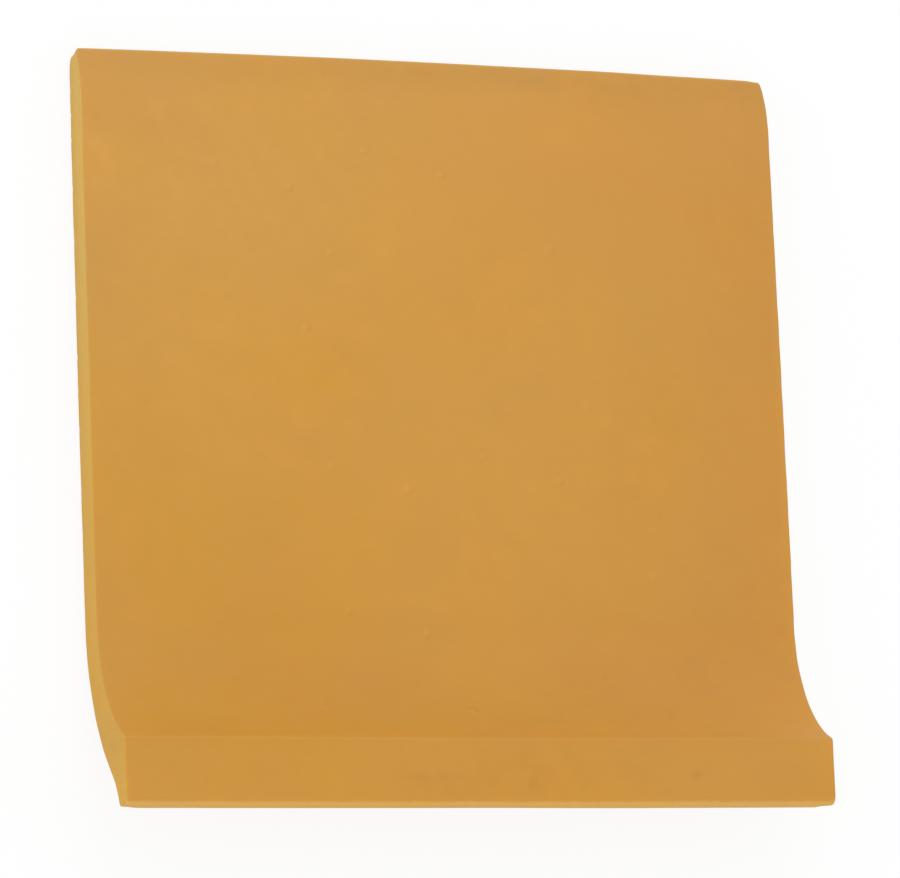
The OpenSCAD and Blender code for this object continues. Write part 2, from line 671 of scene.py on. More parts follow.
class Canvas:
    """A node tree that is laid out from left to right as nodes are added.

    Each row holds `row` nodes, `wide` apart, and the rows are `high` apart.
    """

    row, wide, high = 8, 220, 320

    def __init__(self, tree: Tree) -> None:
        """Keep the tree to add nodes to."""
        self.tree = tree
        self.placed = 0

    @classmethod
    def blank(cls, owner: bpy.types.Material | bpy.types.World) -> "Canvas":
        """Empty the node tree of a material or a world, ready for new nodes.

        Args:
            owner: The material or the world.

        Returns:
            A canvas over its tree.
        """
        owner.use_nodes = True
        owner.node_tree.nodes.clear()
        return cls(owner.node_tree)

    def add(self, kind: str, inputs: dict | None = None, **settings: object) -> bpy.types.Node:
        """Add a node.

        Args:
            kind: Its type, without the ShaderNode in front.
            inputs: Values or outputs for its inputs, by name or number.
            settings: The node's own settings.

        Returns:
            The new node.
        """
        node = self.tree.nodes.new("ShaderNode" + kind)
        node.location = (self.placed % self.row * self.wide, -(self.placed // self.row) * self.high)
        self.placed += 1
        for name, value in settings.items():
            setattr(node, name, value)
        for name, value in (inputs or {}).items():
            self.feed(node.inputs[name], value)
        return node

    def feed(self, socket: Socket, value: object) -> None:
        """Link an output to a socket, or set the socket's value.

        Args:
            socket: The socket.
            value: The output or the value.
        """
        if isinstance(value, Socket):
            self.tree.links.new(value, socket)
        elif socket.type == "RGBA":
            socket.default_value = (*value, 1.0)
        else:
            socket.default_value = value

    def maths(self, operation: str, *terms: object, clamp: bool = False) -> Socket:
        """Reckon with values.

        Args:
            operation: What to do with them.
            terms: Numbers or outputs.
            clamp: Whether the result stays from 0 to 1.

        Returns:
            The result's output.
        """
        return self.add("Math", dict(enumerate(terms)), operation=operation,
                        use_clamp=clamp).outputs[0]

    def spread(self, value: object, low: float, high: float, to_low: float = 0.0,
               to_high: float = 1.0, kind: str = "SMOOTHSTEP") -> Socket:
        """Carry a value from one range to another, softly at both ends.

        Args:
            value: The value or output.
            low: Start of its range.
            high: End of its range.
            to_low: What the start becomes.
            to_high: What the end becomes.
            kind: How it runs between the two.

        Returns:
            The result's output.
        """
        return self.add("MapRange", {0: value, 1: low, 2: high, 3: to_low, 4: to_high},
                        interpolation_type=kind).outputs[0]

    def vectors(self, operation: str, first: object, second: object) -> Outputs:
        """Reckon with two vectors."""
        return self.add("VectorMath", {0: first, 1: second}, operation=operation).outputs

    def scaled(self, vector: object, scale: object) -> Socket:
        """Make a vector longer or shorter."""
        return self.add("VectorMath", {0: vector, "Scale": scale}, operation="SCALE").outputs[0]

    def blend(self, share: object, first: object, second: object, how: str = "MIX") -> Socket:
        """Mix two colours.

        Args:
            share: How much of the second.
            first: A colour or output.
            second: A colour or output.
            how: The way to mix them.

        Returns:
            The mixed colour's output.
        """
        return self.add("Mix", {0: share, 6: first, 7: second}, data_type="RGBA",
                        blend_type=how).outputs[2]

    def noise(self, spot: object, size: object, detail: float = 2.0, rough: float = 0.5) -> Socket:
        """Add cloudy noise.

        Args:
            spot: Where it is read.
            size: Size of its clouds, a number or an output.
            detail: How many finer clouds it holds.
            rough: How strong the finer clouds are.

        Returns:
            The noise's value output, about a half on average.
        """
        scale = self.maths("DIVIDE", 1.0, size) if isinstance(size, Socket) else 1 / size
        return self.add("TexNoise", {"Vector": spot, "Scale": scale, "Detail": detail,
                                     "Roughness": rough}).outputs[0]

    def use(self, effect: "type[Effect]", **inputs: object) -> Outputs:
        """Place a shared effect.

        Args:
            effect: The effect.
            inputs: Its inputs, with _ for each space in a name.

        Returns:
            The outputs of the placed group.
        """
        node = self.add("Group", node_tree=effect.group())
        for name, value in inputs.items():
            self.feed(node.inputs[name.replace("_", " ")], value)
        return node.outputs


class Effect:
    """A look that several finishes share, kept as one node group."""

    made: dict[str, Tree] = {}
    name = "effect"
    takes: dict[str, str] = {}
    gives: dict[str, str] = {}

    @classmethod
    def group(cls) -> Tree:
        """Make the node group the first time it is asked for.

        Returns:
            The effect's node group.
        """
        if cls.name not in Effect.made:
            tree = bpy.data.node_groups.new(cls.name, "ShaderNodeTree")
            for way, sockets in (("INPUT", cls.takes), ("OUTPUT", cls.gives)):
                for label, kind in sockets.items():
                    tree.interface.new_socket(name=label, in_out=way, socket_type="NodeSocket" + kind)
            canvas = Canvas(tree)
            entry = tree.nodes.new("NodeGroupInput")
            leave = tree.nodes.new("NodeGroupOutput")
            entry.location, leave.location = (-300, 0), (2000, 0)
            for label, value in cls.wire(canvas, entry.outputs).items():
                canvas.feed(leave.inputs[label], value)
            Effect.made[cls.name] = tree
        return Effect.made[cls.name]

    @classmethod
    def wire(cls, canvas: Canvas, entry: Outputs) -> dict[str, Socket]:
        """Lay out the effect; each kind of effect has its own."""
        raise NotImplementedError


class KilnClouds(Effect):
    """Slow drifts of tone that the fire leaves in the clay."""

    name = "kiln clouds"
    takes = {"Place": "Vector", "Lean": "Vector", "Cloud Size": "Float", "Cloud Strength": "Float"}
    gives = {"Flush": "Float", "Tone": "Float"}
    fleck_size, fleck_tone = 0.22, 0.7
    patchy = (0.42, 0.62)

    @classmethod
    def wire(cls, canvas: Canvas, entry: Outputs) -> dict[str, Socket]:
        """Lay out the clouds.

        Args:
            canvas: The group's tree.
            entry: What comes into the group.

        Returns:
            The share of the flushed colour and a tone about 0.
        """
        place, size, strength = entry["Place"], entry["Cloud Size"], entry["Cloud Strength"]
        lean = canvas.vectors("DOT_PRODUCT", place, entry["Lean"])["Value"]
        wide = canvas.noise(place, size)
        small = canvas.maths("MULTIPLY", size, cls.fleck_size)
        small = canvas.noise(place, small, detail=4.0, rough=0.6)
        cloud = canvas.maths("SUBTRACT", wide, 0.5)
        drift = canvas.maths("MULTIPLY", cloud, strength)
        flush = canvas.maths("ADD", canvas.maths("ADD", lean, 0.5), drift, clamp=True)
        patchy = canvas.spread(wide, *cls.patchy)
        fleck = canvas.maths("MULTIPLY", canvas.maths("SUBTRACT", small, 0.5), patchy)
        tone = canvas.maths("MULTIPLY_ADD", fleck, cls.fleck_tone, cloud)
        return {"Flush": flush, "Tone": tone}


class ClayGrain(Effect):
    """The fine grain of fired clay, with a few iron specks."""

    name = "clay grain"
    takes = {"Place": "Vector", "Grain Size": "Float", "Speck Spacing": "Float", "Speck Share": "Float"}
    gives = {"Height": "Float", "Tone": "Float", "Specks": "Float"}
    soft_size, soft_height = 5.0, 0.6
    speck_reach, speck_strength, speck_edge = (0.08, 0.22), (0.2, 1.0), 0.9

    @classmethod
    def wire(cls, canvas: Canvas, entry: Outputs) -> dict[str, Socket]:
        """Lay out the grain.

        Args:
            canvas: The group's tree.
            entry: What comes into the group.

        Returns:
            A height from 0 to 1, a tone about 0 and a mask of the specks.
        """
        place, size = entry["Place"], entry["Grain Size"]
        grit = canvas.noise(place, size, detail=3.0, rough=0.65)
        soft = canvas.noise(place, canvas.maths("MULTIPLY", size, cls.soft_size))
        height = canvas.maths("MULTIPLY", grit, 1 - cls.soft_height)
        height = canvas.maths("MULTIPLY_ADD", soft, cls.soft_height, height)
        tone = canvas.maths("MULTIPLY_ADD", grit, 0.5, canvas.maths("MULTIPLY", soft, 0.5))
        tone = canvas.maths("SUBTRACT", tone, 0.5)
        spacing = canvas.maths("DIVIDE", 1.0, entry["Speck Spacing"])
        cells = canvas.add("TexVoronoi", {"Vector": place, "Scale": spacing}).outputs
        chosen = canvas.add("SeparateColor", {0: cells["Color"]}).outputs
        reach = canvas.spread(chosen[1], 0.0, 1.0, *cls.speck_reach, "LINEAR")
        near = canvas.maths("DIVIDE", cells["Distance"], reach)
        near = canvas.maths("SUBTRACT", 1.0, near, clamp=True)
        picked = canvas.maths("LESS_THAN", chosen[0], entry["Speck Share"])
        strength = canvas.spread(chosen[2], 0.0, 1.0, *cls.speck_strength, "LINEAR")
        strength = canvas.maths("MULTIPLY", strength, picked)
        specks = canvas.maths("MULTIPLY", canvas.spread(near, 0.0, cls.speck_edge), strength)
        return {"Height": height, "Tone": tone, "Specks": specks}


class DragLines(Effect):
    """Fine lines that the die or the cutting wire drew in the soft clay."""

    name = "drag lines"
    takes = {"Place": "Vector", "Along": "Vector", "Line Spacing": "Float", "Line Length": "Float"}
    gives = {"Height": "Float"}

    @classmethod
    def wire(cls, canvas: Canvas, entry: Outputs) -> dict[str, Socket]:
        """Lay out the lines.

        Args:
            canvas: The group's tree.
            entry: What comes into the group.

        Returns:
            A height from 0 to 1.
        """
        place, along = entry["Place"], entry["Along"]
        run = canvas.scaled(along, canvas.vectors("DOT_PRODUCT", place, along)["Value"])
        across = canvas.vectors("SUBTRACT", place, run)[0]
        across = canvas.scaled(across, canvas.maths("DIVIDE", 1.0, entry["Line Spacing"]))
        run = canvas.scaled(run, canvas.maths("DIVIDE", 1.0, entry["Line Length"]))
        spot = canvas.vectors("ADD", across, run)[0]
        return {"Height": canvas.noise(spot, 1.0, detail=3.0, rough=0.6)}


class RubbedEdgeAndHighlight(Effect):
    """Paler clay where an edge has been rubbed, broken up along its run; along the toe's lip it is also
    a painted highlight.
    """

    name = "rubbed edge"
    takes = {"Place": "Vector", "Rub": "Float", "Break Size": "Float", "Amount": "Float"}
    gives = {"Mask": "Float"}
    least, uneven = 0.4, 1.2
    bare = (0.05, 1.0)

    @classmethod
    def wire(cls, canvas: Canvas, entry: Outputs) -> dict[str, Socket]:
        """Lay out the rubbing.

        Args:
            canvas: The group's tree.
            entry: What comes into the group.

        Returns:
            A mask that is 1 where the edge is bare.
        """
        broken = canvas.noise(entry["Place"], entry["Break Size"], detail=3.0, rough=0.6)
        uneven = canvas.maths("MULTIPLY_ADD", broken, cls.uneven, cls.least)
        bare = canvas.spread(canvas.maths("MULTIPLY", uneven, entry["Rub"]), *cls.bare)
        return {"Mask": canvas.maths("MULTIPLY", bare, entry["Amount"])}


# ---------------------------------------------------------------- finishes


@dataclass(frozen=True)
class ClayFinish:
    """A finish of the fired clay; the kinds of it set their own values.

    Args:
        name: Name of the material.
        pale: Colour where the fire was mild.
        flushed: Colour where the fire was strong.
        rubbed: Colour of a rubbed edge, and of the painted highlight along the toe's lip.
        lean: Direction in which the flush grows, one over metres.
        cloud_size: Size of the slow clouds.
        cloud_strength: How much the clouds move the flush.
        tone_depth: How much the clouds darken and lighten.
        grain_size: Size of the grain.
        grain_depth: Depth of the grain.
        grain_tone: How much the grain darkens and lightens.
        line_tone: How much the drag lines darken and lighten.
        speck_spacing: Spacing of the cells that may hold an iron speck.
        speck_share: Share of the cells that hold one.
        speck_cover: How much of the clay's colour a speck hides.
        speck_sunk: How deep a speck lies, as a share of the relief.
        speck_colour: Colour of a speck.
        drag_along: Direction of the drag lines.
        drag_spacing: Spacing of the drag lines.
        drag_length: Length over which a drag line changes.
        drag_depth: Depth of the drag lines.
        rub_amount: How bare the rubbed edges are.
        rub_break: Size of the breaks along a rubbed edge.
        roughness: Roughness of the surface, on average.
        cloud_rough: How much the clouds roughen it.
        grain_rough: How much the grain roughens it.
        rub_rough: How much rubbing roughens it.
        refraction: How strongly the skin bends light.
        gloss: Strength of its reflections.
    """

    name: str
    pale: Colour
    flushed: Colour
    rubbed: Colour
    lean: Triple = (0.0, 0.0, 0.0)
    cloud_size: float = 30 * MM
    cloud_strength: float = 0.8
    tone_depth: float = 0.1
    grain_size: float = 0.3 * MM
    grain_depth: float = 0.01 * MM
    grain_tone: float = 0.06
    line_tone: float = 0.03
    speck_spacing: float = 1.9 * MM
    speck_share: float = 0.014
    speck_cover: float = 0.45
    speck_sunk: float = 0.5
    speck_colour: Colour = clay_colour(120, 78, 34)
    drag_along: Triple = (1.0, 0.0, 0.0)
    drag_spacing: float = 0.8 * MM
    drag_length: float = 30 * MM
    drag_depth: float = 0.01 * MM
    rub_amount: float = 0.75
    rub_break: float = 3 * MM
    roughness: float = 0.6
    cloud_rough: float = 0.12
    grain_rough: float = 0.3
    rub_rough: float = 0.12
    refraction: float = 1.5
    gloss: float = 0.3

    def material(self) -> bpy.types.Material:
        """Make the material.

        Returns:
            The material, ready to put in a slot.
        """
        made = bpy.data.materials.new(self.name)
        canvas = Canvas.blank(made)
        place = canvas.add("TexCoord").outputs["Object"]
        trace = {kind: canvas.add("Attribute", attribute_name=kind.value).outputs["Fac"]
                 for kind in Trace}
        clouds = canvas.use(KilnClouds, Place=place, Lean=self.lean, Cloud_Size=self.cloud_size,
                            Cloud_Strength=self.cloud_strength)
        grain = canvas.use(ClayGrain, Place=place, Grain_Size=self.grain_size,
                           Speck_Spacing=self.speck_spacing, Speck_Share=self.speck_share)
        lines = canvas.use(DragLines, Place=place, Along=self.drag_along,
                           Line_Spacing=self.drag_spacing, Line_Length=self.drag_length)
        # The rubbed-edge mask also carries the painted highlight along the toe's lip.
        bare = canvas.use(RubbedEdgeAndHighlight, Place=place, Rub=trace[Trace.RUB_AND_HIGHLIGHT],
                          Break_Size=self.rub_break, Amount=self.rub_amount)["Mask"]

        flush = canvas.maths("ADD", clouds["Flush"], trace[Trace.FLUSH], clamp=True)
        colour = canvas.blend(flush, self.pale, self.flushed)
        tone = canvas.maths("MULTIPLY_ADD", clouds["Tone"], self.tone_depth, 1.0)
        tone = canvas.maths("MULTIPLY_ADD", grain["Tone"], self.grain_tone, tone)
        line = canvas.maths("SUBTRACT", lines["Height"], 0.5)
        tone = canvas.maths("MULTIPLY_ADD", line, self.line_tone, tone)
        # Painted shade and painted highlight from the marks darken and lighten the colour here, along
        # with the clay's own tone.
        tone = canvas.maths("SUBTRACT", tone, trace[Trace.SHADE])
        ruddy = canvas.maths("SUBTRACT", tone, trace[Trace.IRON])
        toned = canvas.add("CombineColor", {0: tone, 1: ruddy, 2: tone}).outputs[0]
        colour = canvas.blend(1.0, colour, toned, "MULTIPLY")
        colour = canvas.blend(bare, colour, self.rubbed)
        speck = canvas.maths("MULTIPLY", grain["Specks"], self.speck_cover)
        colour = canvas.blend(speck, colour, self.speck_colour)

        rough = canvas.maths("MULTIPLY_ADD", clouds["Tone"], self.cloud_rough, self.roughness)
        rough = canvas.maths("MULTIPLY_ADD", grain["Tone"], self.grain_rough, rough)
        rough = canvas.maths("MULTIPLY_ADD", bare, self.rub_rough, rough, clamp=True)

        deep = max(self.grain_depth, self.drag_depth)
        height = canvas.maths("MULTIPLY", grain["Height"], self.grain_depth / deep)
        height = canvas.maths("MULTIPLY_ADD", lines["Height"], self.drag_depth / deep, height)
        height = canvas.maths("MULTIPLY_ADD", grain["Specks"], -self.speck_sunk, height)
        bump = canvas.add("Bump", {"Strength": 1.0, "Distance": deep, "Height": height})

        shader = canvas.add("BsdfPrincipled", {
            "Base Color": colour, "Roughness": rough, "Normal": bump.outputs[0],
            "IOR": self.refraction, "Specular IOR Level": self.gloss})
        canvas.add("OutputMaterial", {"Surface": shader.outputs[0]})
        return made


# ---------------------------------------------------------------- tile


@dataclass
class SkirtingTile:
    """The fired tile, one piece.

    Args:
        low: Lowest corner of the tile's box.
        high: Highest corner of the tile's box.
        sizes: Sizes of the section.
        step: Spacing of the points along the wall.
        margin: Where the evenly spaced points start, measured from an end.
        arris: Radius of the edge round each end.
        arris_rings: Rings of points round that edge.
        arris_drift: Waves in its radius.
        arris_change: Share by which they change it.
        apart: How far apart the waves of the two ends are read.
        end_wear: How rubbed the edge round each end is, from 0 to 1.
        face_reach: How far the rubbing runs out over the skin.
        end_reach: How far it runs out over the end.
        end_strips: Strips of faces at each end that show the cut clay.
        net: Spacing of the points on an end.
        net_gap: How far they stay from its edge.
        end_fade: How far from its edge an end's ripple has its full depth.
        bow: How much lower the top corners are than the top's middle.
        foot_bow: How much higher the foot's corners are than its middle.
        pinch: How much nearer each end is at the head and the foot than halfway up.
        skin_waves: The unevenness of the skin.
        end_waves: The ripple of the cut ends.
        patches: The patchiness of the marks.
        opening: Points from a blemish to each side of its opening in the shell.
        blemish_rings: Radii of the rings over a blemish, as shares of its own.
        pimples: Blemishes in the skin of the face.
        marks: Darker and paler patches, among them painted shade and painted highlight.
        knocks: Corners and edges that have moved.
    """

    low: np.ndarray
    high: np.ndarray
    sizes: SectionSizes = field(default_factory=SectionSizes)
    step: float = 0.75 * MM
    margin: float = 1.3 * MM
    arris: float = 0.45 * MM
    arris_rings: int = 6
    arris_drift: Undulation = Undulation(3 * MM, 14 * MM, 31)
    arris_change: float = 0.22
    apart: float = 0.2
    end_wear: float = 0.06
    face_reach: float = 1.1 * MM
    end_reach: float = 1.2 * MM
    end_strips: int = 2
    net: float = 0.8 * MM
    net_gap: float = 0.45 * MM
    end_fade: float = 1.5 * MM
    bow: float = 0.57 * MM
    foot_bow: float = 0.12 * MM
    pinch: float = 0.13 * MM
    skin_waves: tuple[Undulation, ...] = (Undulation(28 * MM, 90 * MM, 7, depth=0.045 * MM),
                                          Undulation(6 * MM, 16 * MM, 19, 24, 0.008 * MM))
    end_waves: tuple[Undulation, ...] = (
        Undulation(5 * MM, 30 * MM, 43, depth=0.05 * MM),
        Undulation(2.4 * MM, 7 * MM, 47, 24, 0.03 * MM, (1.0, 1.0, 0.2)))
    patches: Undulation = Undulation(2 * MM, 8 * MM, 57, 20)
    opening: int = 3
    blemish_rings: tuple[float, ...] = (1.3, 1.1, 0.92, 0.74, 0.56, 0.38, 0.2)
    pimples: tuple[Pimple, ...] = ()
    marks: tuple[KilnMark, ...] = ()
    knocks: tuple[Knock, ...] = ()

    def __post_init__(self) -> None:
        """Make the outline that fits the box."""
        span = self.high - self.low
        self.outline = Outline(self.sizes, span[1], span[2], self.step)
        self.run = self.outline.run()
        self.spots: list[np.ndarray] = []
        self.rub: list[np.ndarray] = []
        self.faces: list[tuple[int, ...]] = []
        self.zones: list[Zone] = []
        self.count = 0

    def skin(self, x: np.ndarray, run: np.ndarray, sunk: np.ndarray, rise: np.ndarray) -> np.ndarray:
        """Find points of the tile's surface.

        Args:
            x: Places along the wall.
            run: Distances along the outline.
            sunk: How far each lies inside the plain surface.
            rise: How far a blemish lifts each.

        Returns:
            The points, one row of three numbers each.
        """
        place, facing = np.array(self.outline.place), np.array(self.outline.normal)
        part = [np.interp(run, self.run, column) for column in (*place.T, *facing.T)]
        plain = np.stack([x, part[0] + self.low[1], part[1] + self.low[2]], 1)
        out = np.stack([np.zeros(len(x)), part[2], part[3]], 1)
        wavy = sum(waves.sink(plain) for waves in self.skin_waves)
        return self.settle(plain + out * (wavy + rise - sunk)[:, None])

    def settle(self, spots: np.ndarray) -> np.ndarray:
        """Give points the warp of the fired tile and its knocked corners.

        Args:
            spots: Points of the plain tile.

        Returns:
            The moved points.
        """
        side = spots[:, 0] / self.high[0]
        up = (spots[:, 1] - self.low[1]) / (self.high[1] - self.low[1])
        moved = spots.copy()
        moved[:, 0] -= self.pinch * side * (2 * up - 1) ** 2
        moved[:, 1] += side**2 * (self.foot_bow * (1 - up) ** 3 - self.bow * up)
        for knock in self.knocks:
            moved = knock.move(moved, self.low, self.high)
        return moved

    def add_points(self, spots: np.ndarray, rub: np.ndarray) -> int:
        """Keep points and how rubbed they are.

        Args:
            spots: The points.
            rub: How rubbed each is, from 0 to 1.

        Returns:
            The number of the first one.
        """
        first = self.count
        self.spots.append(spots)
        self.rub.append(rub)
        self.count += len(spots)
        return first

    def add_face(self, corners: tuple[int, ...], zone: Zone) -> None:
        """Keep a face and its finish."""
        self.faces.append(corners)
        self.zones.append(zone)

    def edge_rings(self, side: int, end: float) -> list[tuple[np.ndarray, ...]]:
        """Set out the rings of points round the edge of one end.

        Args:
            side: 1 for the end towards negative X, -1 for the other.
            end: Place of the end along the wall.

        Returns:
            Per ring, from the end inwards, the places of its points along the wall,
            how far they are sunk and how rubbed they are.
        """
        points = len(self.run)
        spots = np.stack([np.full(points, side * self.apart), *np.array(self.outline.place).T], 1)
        radius = self.arris * (1 + self.arris_change * self.arris_drift.at(spots))
        worn = np.full(points, self.end_wear)
        return [(end + side * radius * (1 - math.cos(turn)), radius * (1 - math.sin(turn)), worn)
                for turn in np.linspace(0, math.pi / 2, self.arris_rings)]

    def columns(self) -> list[np.ndarray]:
        """Set out the rings of points from end to end.

        Returns:
            Per ring and outline point, its place along the wall, how far it is
            sunk and how rubbed it is by the ends.
        """
        points, low, high = len(self.run), self.low[0], self.high[0]
        count = round((high - low - 2 * self.margin) / self.step)
        rings = self.edge_rings(1, low)
        for x in np.linspace(low + self.margin, high - self.margin, count + 1):
            fade = max(0.0, 1 - (min(x - low, high - x) - self.arris) / self.face_reach)
            rings.append((np.full(points, x), np.zeros(points),
                          np.full(points, self.end_wear * fade)))
        rings += reversed(self.edge_rings(-1, high))
        return [np.array(part) for part in zip(*rings)]

    def add_shell(self) -> None:
        """Lay the skin round the outline from end to end, open where blemishes go."""
        xs, sunks, rubs = self.columns()
        rings, points = xs.shape
        worn = np.maximum(rubs, np.array(self.outline.worn))
        run = np.tile(self.run, rings)
        self.add_points(self.skin(xs.ravel(), run, sunks.ravel(), np.zeros(len(run))), worn.ravel())
        taken = np.zeros((rings, points), bool)
        for pimple in self.pimples:
            i, j = self.nearest(pimple, xs)
            taken[i - self.opening:i + self.opening, j - self.opening:j + self.opening] = True
            self.add_blemish(pimple, xs, i, j)
        for i, j in np.argwhere(~taken[:-1]).tolist():
            k = (j + 1) % points
            here, there = i * points, (i + 1) * points
            on_end = min(i, rings - 2 - i) < self.end_strips
            self.add_face((here + j, there + j, there + k, here + k),
                          Zone.CUT if on_end else self.outline.zone[j])
        self.add_end(xs[0, 0], 0, False)
        self.add_end(xs[-1, 0], (rings - 1) * points, True)

    def nearest(self, pimple: Pimple, xs: np.ndarray) -> tuple[int, int]:
        """Find the ring and the outline point nearest to a blemish on the face.

        Args:
            pimple: The blemish.
            xs: Places of the rings along the wall.

        Returns:
            The ring's and the point's number.
        """
        place = np.array(self.outline.place)
        facing = np.array([zone is Zone.FACE for zone in self.outline.zone])
        away = np.abs(place[:, 0] + self.low[1] - pimple.y * MM) + np.where(facing, 0, 1)
        middle = xs[:, len(place) // 2]
        return int(np.argmin(np.abs(middle - pimple.x * MM))), int(np.argmin(away))

    def add_blemish(self, pimple: Pimple, xs: np.ndarray, i: int, j: int) -> None:
        """Fill a square opening of the shell with rings round a blemish.

        Args:
            pimple: The blemish.
            xs: Places of the rings along the wall.
            i: Ring at the middle of the opening.
            j: Outline point at its middle.
        """
        half = self.opening
        steps = range(-half, half)
        loop = [*((i + k, j - half) for k in steps), *((i + half, j + k) for k in steps),
                *((i - k, j + half) for k in steps), *((i - half, j - k) for k in steps)]
        count = len(loop)
        rim = np.array([(xs[a, b], self.run[b]) for a, b in loop])
        up = pimple.y * MM - self.low[1] - self.outline.place[j][0]
        middle = np.array([pimple.x * MM, self.run[j] + up / self.outline.normal[j][1]])
        turns = np.arctan2(rim[:, 1] - middle[1], rim[:, 0] - middle[0])
        outer = [a * len(self.run) + b for a, b in loop]
        for share in self.blemish_rings:
            radius = share * pimple.size * MM / 2
            spots = middle + radius * np.stack([np.cos(turns), np.sin(turns)], 1)
            rise = pimple.rise(np.full(count, radius))
            first = self.add_points(self.skin(*spots.T, np.zeros(count), rise), np.zeros(count))
            inner = list(range(first, first + count))
            for k in range(count):
                n = (k + 1) % count
                self.add_face((outer[k], outer[n], inner[n], inner[k]), Zone.FACE)
            outer = inner
        none = np.zeros(1)
        top = self.add_points(self.skin(middle[:1], middle[1:], none, pimple.rise(none)), none)
        for k in range(count):
            self.add_face((outer[k], outer[(k + 1) % count], top), Zone.FACE)

    def add_end(self, x: float, first: int, right: bool) -> None:
        """Close one end with a net of points over the section.

        Args:
            x: Place of the end along the wall.
            first: Number of the end ring's first point.
            right: Whether it is the end towards positive X.
        """
        points = len(self.run)
        ring = np.concatenate(self.spots)[first:first + points, 1:]
        ys, zs = (np.arange(self.low[axis] + self.net / 2, self.high[axis], self.net)
                  for axis in (1, 2))
        inner = np.array([(y, z) for y in ys for z in zs])
        away, inside = self.clearance(inner, ring)
        keep = inside & (away > self.net_gap)
        inner, away = inner[keep], away[keep]
        flat = np.stack([np.full(len(inner), x), *inner.T], 1)
        wavy = sum(waves.sink(flat) for waves in self.end_waves)
        flat[:, 0] += (1 if right else -1) * wavy * np.clip(away / self.end_fade, 0, 1)
        start = self.add_points(flat, np.clip(self.end_wear * (1 - away / self.end_reach), 0, 1))
        numbers = [*range(first, first + points), *range(start, self.count)]
        spots = [Vector(spot) for spot in (*ring.tolist(), *inner.tolist())]
        edges = [(k, (k + 1) % points) for k in range(points)]
        new, _, faces, origin, *_ = delaunay_2d_cdt(spots, edges, [], 1, 1e-7)
        if not all(origin):
            raise ValueError("the end's net made a point of its own")
        for face in faces:
            a, b, c = (new[k] for k in face)
            turned = (b.x - a.x) * (c.y - a.y) - (b.y - a.y) * (c.x - a.x) > 0
            order = face if turned == right else face[::-1]
            self.add_face(tuple(numbers[origin[k][0]] for k in order), Zone.CUT)

    @staticmethod
    def clearance(spots: np.ndarray, ring: np.ndarray) -> tuple[np.ndarray, np.ndarray]:
        """Measure how far points lie inside a closed line.

        Args:
            spots: The points, one row of two numbers each.
            ring: The closed line's points.

        Returns:
            The distance to the line, and whether each point lies inside it.
        """
        nearest = np.full(len(spots), np.inf)
        crossed = np.zeros(len(spots), int)
        for a, b in zip(ring, np.roll(ring, -1, axis=0)):
            way = b - a
            share = np.clip((spots - a) @ way / max(way @ way, 1e-18), 0, 1)
            nearest = np.minimum(nearest, np.linalg.norm(spots - a - share[:, None] * way, axis=1))
            spans = (a[1] > spots[:, 1]) != (b[1] > spots[:, 1])
            if a[1] != b[1]:
                cut = a[0] + (spots[:, 1] - a[1]) / way[1] * way[0]
                crossed += spans & (spots[:, 0] < cut)
        return nearest, crossed % 2 == 1

    def levels(self, spots: np.ndarray) -> dict[Trace, np.ndarray]:
        """Work out how much of each trace the tile's points have.

        Args:
            spots: The points.

        Returns:
            One number for each point, for each trace.
        """
        patches = self.patches.at(spots)
        levels = {kind: np.zeros(len(spots)) for kind in Trace}
        # Each blemish also adds a painted highlight over it.
        for mark in (*self.marks, *(pimple.painted_highlight() for pimple in self.pimples)):
            levels[mark.trace] += mark.amount(spots, patches)
        rubbed = np.concatenate(self.rub)
        levels[Trace.RUB_AND_HIGHLIGHT] = np.clip(rubbed * (1 + levels[Trace.RUB_AND_HIGHLIGHT]), 0, 1)
        return levels

    def build(self, finishes: dict[Zone, ClayFinish]) -> bpy.types.Object:
        """Make the tile, dress it and fasten it to the part.

        Args:
            finishes: The finish of each zone.

        Returns:
            The tile's object.
        """
        self.add_shell()
        spots = np.concatenate(self.spots)
        mesh = bpy.data.meshes.new("fired_tile")
        mesh.from_pydata(spots.tolist(), [], self.faces)
        mesh.polygons.foreach_set("material_index", self.zones)
        mesh.polygons.foreach_set("use_smooth", [True] * len(self.faces))
        for kind, level in self.levels(spots).items():
            layer = mesh.attributes.new(kind.value, "FLOAT", "POINT")
            layer.data.foreach_set("value", level.astype(np.float32))
        mesh.validate()
        for zone in Zone:
            mesh.materials.append(finishes[zone].material())
        tile = bpy.data.objects.new("fired_tile", mesh)
        bpy.context.scene.collection.objects.link(tile)
        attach(tile, "root")
        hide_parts(NODE)
        LOG.info("tile: %d points, %d faces, %d blemishes", len(spots), len(self.faces),
                 len(self.pimples))
        return tile


# ---------------------------------------------------------------- studio


@dataclass(frozen=True)
class SoftBox:
    """A large soft lamp.

    Args:
        name: Name of the lamp.
        way: Direction from the tile to the lamp.
        level: Light that it gives on a card turned to it, where 1 shows white as white.
        width: Side of its square face.
        distance: How far away it stands.
    """

    name: str
    way: Triple
    level: float
    width: float = 1.0
    distance: float = 1.6

    def build(self) -> bpy.types.Object:
        """Hang the lamp.

        Returns:
            The lamp's object.
        """
        data = bpy.data.lights.new(self.name, "AREA")
        data.shape, data.size = "SQUARE", self.width
        data.energy = self.level * math.pi**2 * self.distance**2
        lamp = bpy.data.objects.new(self.name, data)
        way = Vector(self.way).normalized()
        turned = (-way).to_track_quat("-Z", "Y").to_matrix().to_4x4()
        lamp.matrix_world = Matrix.Translation(way * self.distance) @ turned
        bpy.context.scene.collection.objects.link(lamp)
        LOG.info("lamp %s: level %.2f", self.name, self.level)
        return lamp


